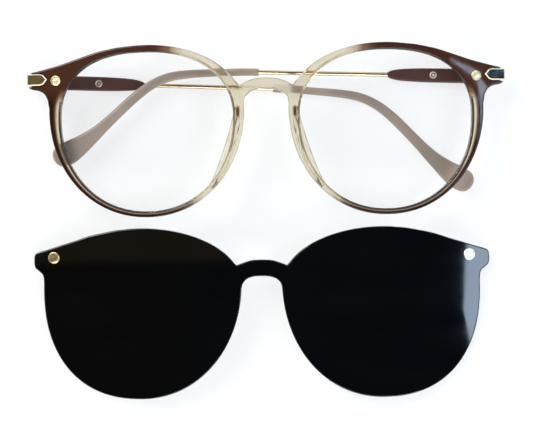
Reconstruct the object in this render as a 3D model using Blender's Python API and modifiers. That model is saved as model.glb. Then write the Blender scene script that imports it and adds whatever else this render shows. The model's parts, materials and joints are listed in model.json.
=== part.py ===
"""Magnetic clip-on sunglasses with the spectacle frame they belong to.

The set lies on a table the way it is laid out for use: the spectacles on their folded
temples with the front facing up, and the one-piece tinted clip below them.
X runs along the front, Y from the lens bottoms to the brow, Z up from the table.
Everything that belongs to the front, or to the clip, is drawn flat (u along X, v along Y,
z up from the front face) and then bent to the same spherical base curve.
"""

import math

import bmesh
import bpy
from mathutils import Matrix, Vector

MM = 0.001

# --- Driving dimensions, in millimetres -----------------------------------------------
BASE_RADIUS = 350.0          # base curve shared by the front and the clip
SPECS_X, SPECS_Y = 0.2, 27.2  # where the middle of the lens datum line lies
SPECS_TOP_Z = 15.2           # front face of the bridge above the table
CLIP_X, CLIP_Y = -1.8, -25.4  # where the clip lies
CLIP_TOP_Z = 8.21            # front face of the clip's bridge above the table
CLIP_TILT = 3.58             # degrees: it rests on its magnets and its lower rims
CLIP_SKEW = 0.2              # degrees: it lies this much clockwise

RIM_DEPTH = 3.6              # front to back thickness of the moulded front
RIM_EDGE = 0.5
GROOVE_DEPTH = 0.7
GROOVE_HALF, GROOVE_TAPER = 1.15, 0.9
LENS_GAP = 0.3
LENS_HALF_EDGE = 0.1
LENS_BEVEL = 0.75

MAGNET_U, MAGNET_V = 61.65, 15.0   # magnet centres, the same on the front and the clip
MAGNET_RADIUS = 1.5
POCKET_RADIUS = 1.66
POCKET_DEPTH = 3.0

CAP_SINK, CAP_PROUD = 0.5, 0.45    # metal end cap below and above the front face
CAP_SLOT_DEPTH = 0.8
TONGUE_U, TONGUE_V = (69.45, 70.35), (13.75, 17.05)
TONGUE_BACK = 7.2
TONGUE_SLOT_U, TONGUE_SLOT_V = (69.1, 71.8), (13.35, 17.45)
TONGUE_SLOT_BACK = 5.0

HINGE_U, HINGE_V, HINGE_Z = 67.05, 15.3, 2.75
FOLD_SKEW = {-1: 2.3, 1: 1.7}     # degrees: each folded temple lies this much clockwise
FOLD_LIFT = {-1: 0.0, 1: 1.5}    # degrees: the right temple lies on top of the left one
BARREL_RADIUS = 1.6
BARREL_BORE = 0.74
BARREL_SEGMENTS = 24
LEAF_INNER, LEAF_NOTCH, LEAF_OUTER = HINGE_U - 6.9, HINGE_U - 2.0, HINGE_U - 0.3
LEAF_GAP, LEAF_THICK = 0.3, 1.0
SCREW_RADIUS = 0.65
SCREW_HEAD_RADIUS = 1.15
TEMPLE_BARREL_HALF = 0.8
FRONT_BARREL_FROM, FRONT_BARREL_TO = 0.9, 2.1

TEMPLE_OFFSET = -1.5         # temple mid plane from the hinge axis, outwards
SLEEVE_THICK = 2.4
SLEEVE_FROM, SLEEVE_TO = 2.2, 31.0
ROD_RADIUS = 0.68
ROD_FROM, ROD_TO = 8.0, 75.0
ROD_SEGMENTS = 20
TIP_THICK = 2.3
TIP_FROM = 69.2

SHIELD_THICK = 1.9
SHIELD_EDGE = 0.3
BEND_PITCH = 12.0            # width of the strips that a bent plate is cut into
RIVET_HEAD_RADIUS = 1.75
RIVET_HEAD_TOP_RADIUS = 1.5
RIVET_SHANK_RADIUS = 0.8
RIVET_CLEARANCE = 0.12
CUP_RADIUS = 2.1

SIDES = {-1: "left", 1: "right"}

# --- Lobes: the rounded outlines of a lens, a rim and a clip lens ----------------------
# centre u, v of the widest line, half width, height above and below that line, and the
# superellipse powers of the upper nose, upper temple, lower temple (foot) and lower nose
# (heel) quarters; lean is how far each millimetre below that line is shifted outwards
OPENING = dict(u=35.0, v=3.55, a=25.3, up=19.4, low=27.15, nose=2.2, temple=2.4, foot=2.1, heel=2.1,
               lean=0.0)
RIM = dict(u=35.1, v=6.1, a=28.65, up=18.8, low=31.45, nose=2.03, temple=2.03, foot=2.07, heel=2.07,
           lean=0.0)
CLIP = dict(u=35.4, v=7.1, a=29.5, up=16.6, low=34.3, nose=2.0, temple=2.0, foot=2.3, heel=2.08,
            lean=0.03)


def lobe_point(lobe, angle, grow=0.0):
    """A point on a lobe; angle 0 is the temple side and 90 degrees the brow."""
    cosine, sine = math.cos(angle), math.sin(angle)
    if sine < 0:
        power = lobe["foot"] if cosine > 0 else lobe["heel"]
    else:
        power = lobe["temple"] if cosine > 0 else lobe["nose"]
    height = lobe["up"] if sine >= 0 else lobe["low"]
    u = math.copysign(abs(cosine) ** (2 / power), cosine) * (lobe["a"] + grow)
    v = math.copysign(abs(sine) ** (2 / power), sine) * (height + grow)
    return lobe["u"] + u - lobe["lean"] * min(v, 0), lobe["v"] + v


def lobe_arc(lobe, start, end, count, grow=0.0):
    """Points from one angle to another, both in degrees."""
    step = math.radians(end - start) / (count - 1)
    return [lobe_point(lobe, math.radians(start) + i * step, grow) for i in range(count)]


def lobe_loop(lobe, count, grow=0.0):
    return [lobe_point(lobe, 2 * math.pi * i / count, grow) for i in range(count)]


def smooth(points, steps=3):
    """A Catmull-Rom curve through hand-set points, ends included."""
    ends = [points[0], *points, points[-1]]
    made = []
    for a, b, c, d in zip(ends, ends[1:], ends[2:], ends[3:]):
        for i in range(steps):
            t = i / steps
            made.append(tuple(
                0.5 * (2 * q + (r - p) * t + (2 * p - 5 * q + 4 * r - s) * t * t
                       + (3 * q - p - 3 * r + s) * t ** 3)
                for p, q, r, s in zip(a, b, c, d)))
    return [*made, tuple(points[-1])]


def mirrored(half):
    """The whole outline from its right half, which starts and ends on the middle line."""
    return half + [(-u, v) for u, v in reversed(half[1:-1])]


# --- Scene helpers ---------------------------------------------------------------------
for old in list(bpy.data.objects):
    bpy.data.objects.remove(old)
parts = bpy.data.collections.new("clip_on_sunglasses")
cutters = bpy.data.collections.new("cutters")
bpy.context.scene.collection.children.link(parts)
bpy.context.scene.collection.children.link(cutters)


def material(name, colour, roughness, metallic=0.0, alpha=1.0):
    made = bpy.data.materials.new(name)
    made.use_nodes = True
    shader = made.node_tree.nodes["Principled BSDF"]
    shader.inputs["Base Color"].default_value = (*colour, 1)
    shader.inputs["Roughness"].default_value = roughness
    shader.inputs["Metallic"].default_value = metallic
    shader.inputs["Alpha"].default_value = alpha
    return made


BROWN = material("brown_nylon", (0.09, 0.035, 0.025), 0.15)
CLEAR = material("clear_lens", (0.95, 0.97, 0.97), 0.02, alpha=0.15)
TINT = material("tinted_lens", (0.01, 0.01, 0.012), 0.05)
GOLD = material("gold_plate", (0.83, 0.72, 0.5), 0.15, 1.0)
SILVER = material("silver_plate", (0.85, 0.85, 0.85), 0.15, 1.0)
STEEL = material("steel", (0.6, 0.6, 0.6), 0.3, 1.0)
MAGNET = material("magnet_nickel", (0.5, 0.5, 0.52), 0.25, 1.0)
SLEEVE = material("brown_sleeve", (0.13, 0.045, 0.035), 0.35)
TIP = material("beige_tip", (0.42, 0.32, 0.25), 0.3)


def add(name, mesh, paint, collection=parts):
    obj = bpy.data.objects.new(name, mesh)
    collection.objects.link(obj)
    if collection is cutters:
        obj.hide_render = True
        obj.display_type = "WIRE"
    if paint:
        mesh.materials.clear()
        mesh.materials.append(paint)
    return obj


def baked(obj):
    """Applies an object's modifiers, keeping its name and its collection."""
    bpy.context.view_layer.update()
    graph = bpy.context.evaluated_depsgraph_get()
    mesh = bpy.data.meshes.new_from_object(obj.evaluated_get(graph))
    obj.modifiers.clear()
    obj.data = mesh
    return obj


def plate(name, loops, low, high, edge=0.0, edge_steps=0, paint=None, collection=parts):
    """A flat outline made solid from z low to z high, its edges rounded by edge."""
    curve = bpy.data.curves.new(name, "CURVE")
    curve.dimensions = "2D"
    curve.fill_mode = "BOTH"
    curve.extrude = ((high - low) / 2 - edge) * MM
    curve.bevel_depth = edge * MM
    curve.bevel_resolution = edge_steps
    curve.offset = -edge * MM
    for loop in loops:
        spline = curve.splines.new("POLY")
        spline.points.add(len(loop) - 1)
        for point, (u, v) in zip(spline.points, loop):
            point.co = (u * MM, v * MM, 0, 1)
        spline.use_cyclic_u = True
    source = bpy.data.objects.new(name + "_outline", curve)
    cutters.objects.link(source)
    bpy.context.view_layer.update()
    graph = bpy.context.evaluated_depsgraph_get()
    mesh = bpy.data.meshes.new_from_object(source.evaluated_get(graph))
    bpy.data.objects.remove(source)
    shape = bmesh.new()
    shape.from_mesh(mesh)
    bmesh.ops.remove_doubles(shape, verts=shape.verts, dist=0.00001)
    bmesh.ops.translate(shape, verts=shape.verts, vec=(0, 0, (low + high) / 2 * MM))
    bmesh.ops.recalc_face_normals(shape, faces=shape.faces)
    shape.to_mesh(mesh)
    shape.free()
    return add(name, mesh, paint, collection)


def box(name, low, high, paint=None, collection=parts):
    shape = bmesh.new()
    bmesh.ops.create_cube(shape, size=1)
    size = [(b - a) * MM for a, b in zip(low, high)]
    middle = [(a + b) / 2 * MM for a, b in zip(low, high)]
    bmesh.ops.scale(shape, verts=shape.verts, vec=size)
    bmesh.ops.translate(shape, verts=shape.verts, vec=middle)
    mesh = bpy.data.meshes.new(name)
    shape.to_mesh(mesh)
    shape.free()
    return add(name, mesh, paint, collection)


def rod(name, radius, low, high, where=(0, 0), axis="z", segments=32, paint=None,
        collection=parts, top_radius=None):
    """A cylinder or cone from low to high along an axis; where is its place across it."""
    shape = bmesh.new()
    bmesh.ops.create_cone(
        shape, cap_ends=True, segments=segments, radius1=radius * MM,
        radius2=(radius if top_radius is None else top_radius) * MM,
        depth=(high - low) * MM)
    bmesh.ops.translate(shape, verts=shape.verts, vec=(0, 0, (low + high) / 2 * MM))
    if axis == "y":
        bmesh.ops.rotate(shape, verts=shape.verts, matrix=Matrix.Rotation(-math.pi / 2, 3, "X"))
        bmesh.ops.translate(shape, verts=shape.verts, vec=(where[0] * MM, 0, where[1] * MM))
    elif axis == "x":
        bmesh.ops.rotate(shape, verts=shape.verts, matrix=Matrix.Rotation(math.pi / 2, 3, "Y"))
        bmesh.ops.translate(shape, verts=shape.verts, vec=(0, where[0] * MM, where[1] * MM))
    else:
        bmesh.ops.translate(shape, verts=shape.verts, vec=(where[0] * MM, where[1] * MM, 0))
    mesh = bpy.data.meshes.new(name)
    shape.to_mesh(mesh)
    shape.free()
    return add(name, mesh, paint, collection)


def combine(obj, others, operation):
    """A Boolean with each of the others in turn; pieces that are joined in are removed."""
    for other in others:
        step = obj.modifiers.new(operation.lower(), "BOOLEAN")
        step.operation = operation
        step.object = other
    baked(obj)
    for other in others:
        bpy.data.objects.remove(other)
    return obj


def slice_up(obj, pitch):
    """Cuts a wide plate along a square grid, so that it can bend."""
    shape = bmesh.new()
    shape.from_mesh(obj.data)
    bmesh.ops.dissolve_limit(
        shape, angle_limit=0.01, verts=shape.verts[:], edges=shape.edges[:])
    reach = int(70 / pitch) + 1
    for across in ((1, 0, 0), (0, 1, 0)):
        for i in range(-reach, reach + 1):
            place = [c * (i + 0.5) * pitch * MM for c in across]
            bmesh.ops.bisect_plane(
                shape, geom=shape.verts[:] + shape.edges[:] + shape.faces[:],
                dist=0.0000001, plane_co=place, plane_no=across)
    shape.to_mesh(obj.data)
    shape.free()


def bend(obj):
    """Bends a flat piece to the base curve, which drops away from the middle."""
    for vertex in obj.data.vertices:
        u, v = vertex.co.x / MM, vertex.co.y / MM
        vertex.co.z -= (u * u + v * v) / (2 * BASE_RADIUS) * MM
    return obj


def seated(obj, side):
    """Sets a small flat piece, made at the origin, square to the base curve where the
    magnets are."""
    u, v = side * MAGNET_U, MAGNET_V
    normal = Vector((u, v, BASE_RADIUS))
    spot = Vector((u, v, -(u * u + v * v) / (2 * BASE_RADIUS)))
    obj.data.transform(Matrix.Translation(spot * MM)
                       @ normal.to_track_quat("Z", "Y").to_matrix().to_4x4())
    return obj


def empty(name, location, rotation=(0, 0, 0)):
    made = bpy.data.objects.new(name, None)
    made.location = Vector(location) * MM
    made.rotation_euler = [math.radians(r) for r in rotation]
    parts.objects.link(made)
    return made


def shade(obj, angle=35):
    obj.data.shade_smooth()
    obj.data.set_sharp_from_angle(angle=math.radians(angle))
    return obj


# --- The spectacle front ---------------------------------------------------------------
def front_outline():
    bridge_top = smooth([(0, 14.75), (3.05, 14.55), (5.7, 13.7), (7.6, 12.7)])
    past_notch = [(8.75, 13.8)]
    brow = lobe_arc(RIM, 149, 84, 20)
    end_piece = smooth([
        (43.75, 24.3), (49.6, 23.1), (54.9, 21.45), (60.4, 19.65), (66.1, 18.2),
        (69.0, 17.55), (69.9, 16.9), (70.1, 15.8), (70.1, 14.2), (69.7, 13.1),
        (68.7, 12.55), (66.9, 12.2), (65.2, 11.2), (64.2, 9.5)])
    rim = lobe_arc(RIM, 2, -184, 48)
    bridge_under = smooth([(6.2, 9.2), (5.6, 9.9), (4.4, 10.8), (2.3, 11.6), (0, 11.8)])
    return mirrored(bridge_top + past_notch + brow + end_piece + rim + bridge_under)


def nose_pad(side):
    """The moulded pad: a fin behind the nose side of the rim that flares with depth."""
    shape = bmesh.new()
    bmesh.ops.create_grid(shape, x_segments=12, y_segments=3, size=0.5)
    for vertex in shape.verts:
        along, deep = vertex.co.x + 0.5, vertex.co.y + 0.5
        angle = math.radians(176 + 50 * along)
        inner = lobe_point(OPENING, angle)
        outer = lobe_point(RIM, angle)
        root_u, root_v = [(a + b) / 2 for a, b in zip(inner, outer)]
        depth = deep * (1.4 + 4.8 * math.sin(math.pi * along))
        vertex.co = Vector((side * (root_u + 0.42 * depth), root_v,
                            0.9 - RIM_DEPTH - depth)) * MM
    mesh = bpy.data.meshes.new("nose_pad")
    shape.to_mesh(mesh)
    shape.free()
    pad = add(f"nose_pad_{SIDES[side]}", mesh, None, cutters)
    wall = pad.modifiers.new("wall", "SOLIDIFY")
    wall.thickness = 1.5 * MM
    wall.offset = 0
    baked(pad)
    shape = bmesh.new()
    shape.from_mesh(pad.data)
    bmesh.ops.recalc_face_normals(shape, faces=shape.faces)
    shape.to_mesh(pad.data)
    shape.free()
    return pad


BULLET = [(64.25, 15.4), (65.45, 16.8), (66.45, 17.1), (70.35, 17.1), (70.35, 13.7),
          (66.45, 13.7), (65.45, 14.0)]
BULLET_CUT = [(63.85, 15.4), (65.25, 17.1), (66.35, 17.45), (71.8, 17.45), (71.8, 13.35),
              (66.35, 13.35), (65.25, 13.7)]


def to_side(loop, side):
    return [(side * u, v) for u, v in loop]


def front_cutters(side):
    name = SIDES[side]
    groove = plate(f"groove_{name}", [to_side(lobe_loop(OPENING, 64, GROOVE_DEPTH), side)],
                   -RIM_DEPTH / 2 - GROOVE_HALF, -RIM_DEPTH / 2 + GROOVE_HALF,
                   edge=GROOVE_TAPER, collection=cutters)
    face_slot = plate(f"cap_slot_{name}", [to_side(BULLET_CUT, side)], -CAP_SLOT_DEPTH, 1.0,
                      collection=cutters)
    ends = sorted(side * u for u in TONGUE_SLOT_U)
    side_slot = box(f"cap_side_slot_{name}", (ends[0], TONGUE_SLOT_V[0], -TONGUE_SLOT_BACK),
                    (ends[1], TONGUE_SLOT_V[1], 1), collection=cutters)
    return [groove, face_slot, side_slot]


def front_frame():
    loops = [front_outline()]
    loops += [to_side(lobe_loop(OPENING, 64), side) for side in SIDES]
    front = plate("front_frame", loops, -RIM_DEPTH, 0, edge=RIM_EDGE, paint=BROWN)
    combine(front, [nose_pad(side) for side in SIDES], "UNION")
    combine(front, [c for side in SIDES for c in front_cutters(side)], "DIFFERENCE")
    bend(front)
    pockets = [seated(rod(f"magnet_pocket_{side}", POCKET_RADIUS, -POCKET_DEPTH, 1.0,
                          collection=cutters), side) for side in SIDES]
    return combine(front, pockets, "DIFFERENCE")


def clear_lens(side):
    lens = plate(f"lens_{SIDES[side]}",
                 [to_side(lobe_loop(OPENING, 64, GROOVE_DEPTH - LENS_GAP), side)],
                 -RIM_DEPTH / 2 - LENS_HALF_EDGE - LENS_BEVEL,
                 -RIM_DEPTH / 2 + LENS_HALF_EDGE + LENS_BEVEL,
                 edge=LENS_BEVEL, paint=CLEAR)
    slice_up(lens, BEND_PITCH)
    return bend(lens)


def end_cap(side):
    """The polished metal end: a pointed plate let into the face, and a tongue that runs
    back along the outside to where the open temple stops against it."""
    cap = plate(f"end_cap_{SIDES[side]}", [to_side(BULLET, side)], -CAP_SINK, CAP_PROUD,
                edge=0.3, paint=GOLD)
    ends = sorted(side * u for u in TONGUE_U)
    tongue = box("tongue", (ends[0], TONGUE_V[0], -TONGUE_BACK), (ends[1], TONGUE_V[1], 0.1))
    combine(cap, [tongue], "UNION")
    return bend(cap)


def front_magnet(side):
    cap = rod(f"front_magnet_cap_{SIDES[side]}", MAGNET_RADIUS, -0.6, 0.25, paint=GOLD)
    magnet = rod(f"front_magnet_{SIDES[side]}", MAGNET_RADIUS, -2.7, -0.9, paint=MAGNET)
    return seated(cap, side), seated(magnet, side)


# --- Hinges ----------------------------------------------------------------------------
def hinge_frame(name, side, lift=0.0):
    return empty(name, (side * HINGE_U, HINGE_V, HINGE_Z), (0, lift, -FOLD_SKEW[side]))


def front_leaf(side):
    """The hinge half on the front: a leaf under the end piece with two barrels."""
    outline = [(LEAF_INNER, -1.6), (LEAF_OUTER, -2.0), (LEAF_OUTER, -1.0),
               (LEAF_NOTCH, -1.0), (LEAF_NOTCH, 1.0), (LEAF_OUTER, 1.0),
               (LEAF_OUTER, 2.0), (LEAF_INNER, 1.6)]
    leaf = plate(f"front_hinge_{SIDES[side]}",
                 [to_side([(u, HINGE_V + v) for u, v in outline], side)],
                 -RIM_DEPTH - LEAF_GAP - LEAF_THICK, -RIM_DEPTH - LEAF_GAP, paint=STEEL)
    bend(leaf)
    leaf.data.transform(Matrix.Translation(Vector((0, 0, SPECS_TOP_Z)) * MM))
    turn = (Matrix.Translation(Vector((side * HINGE_U, HINGE_V, HINGE_Z)) * MM)
            @ Matrix.Rotation(math.radians(-FOLD_SKEW[side]), 4, "Z"))
    barrels = []
    for end in (-1, 1):
        low, high = sorted((end * FRONT_BARREL_FROM, end * FRONT_BARREL_TO))
        barrel = rod(f"barrel_{end}", BARREL_RADIUS, low, high, axis="y",
                     segments=BARREL_SEGMENTS)
        barrel.data.transform(turn)
        barrels.append(barrel)
    combine(leaf, barrels, "UNION")
    bore = rod("screw_bore", BARREL_BORE, -4, 4, axis="y", segments=BARREL_SEGMENTS,
               collection=cutters)
    bore.data.transform(turn)
    combine(leaf, [bore], "DIFFERENCE")
    leaf.data.transform(Matrix.Translation(Vector((0, 0, -SPECS_TOP_Z)) * MM))
    return leaf


def hinge_screw(side, frame):
    screw = rod(f"hinge_screw_{SIDES[side]}", SCREW_RADIUS, -2.3, FRONT_BARREL_TO + 0.3,
                axis="y", segments=BARREL_SEGMENTS, paint=STEEL)
    head = rod("head", SCREW_HEAD_RADIUS, FRONT_BARREL_TO + 0.1, FRONT_BARREL_TO + 0.6,
               axis="y", segments=BARREL_SEGMENTS)
    combine(screw, [head], "UNION")
    slot = box("slot", (-2, FRONT_BARREL_TO + 0.4, -0.15), (2, 3.5, 0.15),
               collection=cutters)
    combine(screw, [slot], "DIFFERENCE")
    screw.parent = frame
    return screw


# --- Temples: s runs from the hinge axis to the tip, w upwards --------------------------
def placed(points, side):
    """Temple points run inwards from the hinge when the temple is folded."""
    return [(-side * s, w) for s, w in points]


def temple_leaf(side, frame):
    leaf = plate(
        f"temple_hinge_{SIDES[side]}",
        [placed([(0, -0.7), (2.3, -0.7), (2.6, -1.5), (8.0, -1.5), (8.6, -0.8),
                 (8.6, 0.8), (8.0, 1.5), (2.6, 1.5), (2.3, 0.7), (0, 0.7)], side)],
        0.02, 0.75, paint=STEEL)
    barrel = rod("temple_barrel", BARREL_RADIUS, -TEMPLE_BARREL_HALF, TEMPLE_BARREL_HALF,
                 axis="y", segments=BARREL_SEGMENTS)
    combine(leaf, [barrel], "UNION")
    bore = rod("temple_bore", BARREL_BORE, -4, 4, axis="y", segments=BARREL_SEGMENTS,
               collection=cutters)
    combine(leaf, [bore], "DIFFERENCE")
    leaf.parent = frame
    return leaf


def temple_sleeve(side, frame):
    upper = smooth([(SLEEVE_FROM, 1.75), (3.4, 2.0), (10.0, 2.1), (20.0, 2.05),
                    (26.5, 1.75), (29.5, 1.25), (30.7, 0.7), (SLEEVE_TO, 0.0)])
    outline = upper + [(s, -w) for s, w in reversed(upper[:-1])]
    middle = TEMPLE_OFFSET
    sleeve = plate(f"temple_sleeve_{SIDES[side]}", [placed(outline, side)],
                   middle - SLEEVE_THICK / 2, middle + SLEEVE_THICK / 2, edge=0.4,
                   paint=SLEEVE)
    ends = sorted((-side * (ROD_FROM - 0.3), -side * 40))
    bore = rod("rod_bore", ROD_RADIUS + 0.12, *ends, (0, middle), "x", ROD_SEGMENTS,
               collection=cutters)
    combine(sleeve, [bore], "DIFFERENCE")
    sleeve.parent = frame
    return sleeve


def temple_rod(side, frame):
    ends = sorted((-side * ROD_FROM, -side * ROD_TO))
    core = rod(f"temple_rod_{SIDES[side]}", ROD_RADIUS, *ends, (0, TEMPLE_OFFSET), "x",
               ROD_SEGMENTS, GOLD)
    core.parent = frame
    return core


# centre line (s, w) and width of the plastic temple tip, from the rod to the ear paddle
TIP_LINE = [(69.2, 0, 2.1), (75.0, -0.1, 2.2), (81.0, -0.4, 2.2), (89.5, -0.95, 2.4),
            (95.6, -2.0, 2.6), (100.7, -4.3, 2.7), (105.8, -8.2, 2.9),
            (112.4, -14.5, 3.1), (117.0, -18.9, 3.9), (121.0, -22.2, 5.4),
            (124.6, -24.7, 6.8), (126.9, -25.95, 6.6)]


def tip_outline():
    line = smooth(TIP_LINE, 3)
    upper, lower = [], []
    for i, (s, w, width) in enumerate(line):
        before, after = line[max(i - 1, 0)], line[min(i + 1, len(line) - 1)]
        along = Vector((after[0] - before[0], after[1] - before[1])).normalized()
        out = Vector((-along.y, along.x)) * width / 2
        upper.append((s + out.x, w + out.y))
        lower.append((s - out.x, w - out.y))
    # the end is half an ellipse as wide as the paddle
    end, radius = Vector(line[-1][:2]), line[-1][2] / 2
    steps = 8
    cap = []
    for i in range(1, steps):
        turn = math.pi * i / steps
        cap.append(tuple(end + out.normalized() * radius * math.cos(turn)
                         + along * radius * 0.85 * math.sin(turn)))
    return upper + cap + lower[::-1]


def temple_tip(side, frame):
    middle = TEMPLE_OFFSET
    tip = plate(f"temple_tip_{SIDES[side]}", [placed(tip_outline(), side)],
                middle - TIP_THICK / 2, middle + TIP_THICK / 2, edge=0.6, paint=TIP)
    ends = sorted((-side * (TIP_FROM - 2), -side * (ROD_TO + 0.4)))
    bore = rod("tip_bore", ROD_RADIUS + 0.1, *ends, (0, middle), "x", ROD_SEGMENTS,
               collection=cutters)
    combine(tip, [bore], "DIFFERENCE")
    tip.parent = frame
    return tip


# --- The clip --------------------------------------------------------------------------
def clip_outline():
    bridge_top = smooth([(0, 14.35), (2.85, 14.2), (5.3, 13.5), (7.4, 12.7)])
    brow = lobe_arc(CLIP, 157, 84, 22)
    lug = smooth([
        (42.7, 23.2), (46.9, 22.4), (51.3, 21.4), (55.45, 20.0), (59.75, 18.65),
        (63.35, 17.5), (66.35, 16.6), (67.4, 16.0), (67.75, 14.9), (67.75, 12.8),
        (67.3, 11.75), (66.2, 10.8), (65.3, 9.9), (65.0, 8.9)])
    rim = lobe_arc(CLIP, 1, -178.5, 48)
    bridge_under = smooth([(5.7, 7.1), (5.1, 8.0), (3.9, 8.9), (2.0, 9.4), (0, 9.5)])
    return mirrored(bridge_top + brow + lug + rim + bridge_under)


def clip_shield():
    shield = plate("clip_shield", [clip_outline()], -SHIELD_THICK, 0, edge=SHIELD_EDGE,
                   paint=TINT)
    slice_up(shield, BEND_PITCH)
    bend(shield)
    holes = [seated(rod(f"rivet_hole_{side}", RIVET_SHANK_RADIUS + RIVET_CLEARANCE, -4, 1,
                        segments=ROD_SEGMENTS, collection=cutters), side)
             for side in SIDES]
    return combine(shield, holes, "DIFFERENCE")


def clip_rivet(side):
    paint = GOLD if side < 0 else SILVER
    rivet = rod(f"clip_rivet_{SIDES[side]}", RIVET_SHANK_RADIUS, -SHIELD_THICK - 0.1, 0.2,
                segments=ROD_SEGMENTS, paint=paint)
    head = rod("head", RIVET_HEAD_RADIUS, 0.1, 0.5, top_radius=RIVET_HEAD_TOP_RADIUS)
    combine(rivet, [head], "UNION")
    return seated(rivet, side)


def clip_magnet(side):
    """A cup on the rivet behind the shield, and the disc magnet that sits in it."""
    back = -SHIELD_THICK
    cup = rod(f"clip_magnet_cup_{SIDES[side]}", CUP_RADIUS, back - 1.2, back - 0.3,
              paint=STEEL)
    seat = rod("cup_seat", MAGNET_RADIUS + 0.2, back - 2, back - 0.7, collection=cutters)
    combine(cup, [seat], "DIFFERENCE")
    magnet = rod(f"clip_magnet_{SIDES[side]}", MAGNET_RADIUS, back - 1.2, back - 0.8,
                 paint=MAGNET)
    return seated(cup, side), seated(magnet, side)


def build_spectacles():
    front = empty("front_datum", (SPECS_X, SPECS_Y, SPECS_TOP_Z))
    pieces = [front_frame()]
    for side in SIDES:
        pieces += [clear_lens(side), end_cap(side), *front_magnet(side), front_leaf(side)]
        fixed = hinge_frame(f"hinge_axis_{SIDES[side]}", side)
        fixed.location += Vector((SPECS_X, SPECS_Y, 0)) * MM
        turning = hinge_frame(f"temple_axis_{SIDES[side]}", side, FOLD_LIFT[side])
        turning.location += Vector((SPECS_X, SPECS_Y, 0)) * MM
        shade(hinge_screw(side, fixed))
        for make in (temple_leaf, temple_sleeve, temple_rod, temple_tip):
            shade(make(side, turning))
    for piece in pieces:
        piece.parent = front
        shade(piece)


def build_clip():
    clip = empty("clip_datum", (CLIP_X, CLIP_Y, CLIP_TOP_Z), (CLIP_TILT, 0, -CLIP_SKEW))
    pieces = [clip_shield()]
    for side in SIDES:
        pieces += [clip_rivet(side), *clip_magnet(side)]
    for piece in pieces:
        piece.parent = clip
        shade(piece)


build_spectacles()
build_clip()
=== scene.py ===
"""Looks for the spectacles and their magnetic clip-on, laid out on a white table.

Lengths are in millimetres until a piece is placed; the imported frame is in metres.
The front and the clip are drawn flat (u along X, v along Y, z up from the front face)
and bent to the base curve that the CAD pieces have.
"""

import json
import math

import bmesh
import bpy
from mathutils import Matrix, Vector


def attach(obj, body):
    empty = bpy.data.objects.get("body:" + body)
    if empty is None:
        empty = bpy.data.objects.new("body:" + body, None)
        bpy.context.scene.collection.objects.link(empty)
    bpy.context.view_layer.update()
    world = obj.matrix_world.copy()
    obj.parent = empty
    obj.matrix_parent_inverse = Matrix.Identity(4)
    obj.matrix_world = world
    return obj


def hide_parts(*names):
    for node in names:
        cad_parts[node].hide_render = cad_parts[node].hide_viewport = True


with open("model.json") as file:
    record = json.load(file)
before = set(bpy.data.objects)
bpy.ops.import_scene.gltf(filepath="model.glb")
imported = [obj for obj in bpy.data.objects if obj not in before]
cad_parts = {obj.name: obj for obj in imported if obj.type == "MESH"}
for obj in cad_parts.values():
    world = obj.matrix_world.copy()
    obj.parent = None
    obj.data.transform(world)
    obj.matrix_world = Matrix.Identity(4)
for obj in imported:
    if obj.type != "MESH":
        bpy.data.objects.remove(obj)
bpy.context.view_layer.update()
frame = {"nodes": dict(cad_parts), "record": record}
record = frame["record"]

# The sizes that the frame's pieces have too.
MM = 0.001
BASE_RADIUS = 350.0
RIM_DEPTH = 3.6
LENS_THICK = 1.7
SHIELD_THICK = 1.9
MAGNET_U, MAGNET_V = 61.65, 15.0
TEMPLE_OFFSET = -1.5
SIDES = {-1: "left", 1: "right"}
MIDDLE_DROP = (MAGNET_U ** 2 + MAGNET_V ** 2) / (2 * BASE_RADIUS)

mounts = {mount["name"]: Vector(mount["pos_m"]) / MM for mount in record["mounts"]}
hinges = {joint["child"]: joint for joint in record["behaviour"]["joints"]
          if joint["type"] == "hinge"}


def curve_seat(side):
    """Square to the base curve where a magnet is: seats a piece made at the origin."""
    normal = Vector((side * MAGNET_U, MAGNET_V, BASE_RADIUS))
    return (Matrix.Translation((side * MAGNET_U, MAGNET_V, -MIDDLE_DROP))
            @ normal.to_track_quat("Z", "Y").to_matrix().to_4x4())


# The discs' rims stand this far out of the front's face, and the clip's magnet faces lie
# this far behind its own: the mounts are on them, and place both parts.
SEAT_HEIGHT, CLIP_FACE_DEPTH = 0.25, 3.1
FRONT_PLACE = Matrix.Translation(
    mounts["front_seat_right"] - curve_seat(1) @ Vector((0, 0, SEAT_HEIGHT)))

CLIP_TILT = math.radians(3.58)
CLIP_SKEW = math.radians(-0.2)
CLIP_TURN = Matrix.Rotation(CLIP_SKEW, 4, "Z") @ Matrix.Rotation(CLIP_TILT, 4, "X")
CLIP_PLACE = Matrix.Translation(
    mounts["clip_face_right"]
    - CLIP_TURN @ curve_seat(1) @ Vector((0, 0, -CLIP_FACE_DEPTH))) @ CLIP_TURN

# The folded temples lie a little askew, and the right one on top of the left one.
FOLD_SKEW = {-1: math.radians(-2.3), 1: math.radians(-1.7)}
FOLD_LIFT = {-1: 0.0, 1: math.radians(1.5)}


def temple_place(side):
    """Puts a temple that is drawn flat, from its hinge screw, where it lies folded."""
    joint = hinges[f"temple_{SIDES[side]}"]
    return (Matrix.Translation(Vector(joint["pos_m"]) / MM)
            @ Matrix.Rotation(FOLD_SKEW[side], 4, "Z") @ Matrix.Rotation(FOLD_LIFT[side], 4, "Y"))


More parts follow.
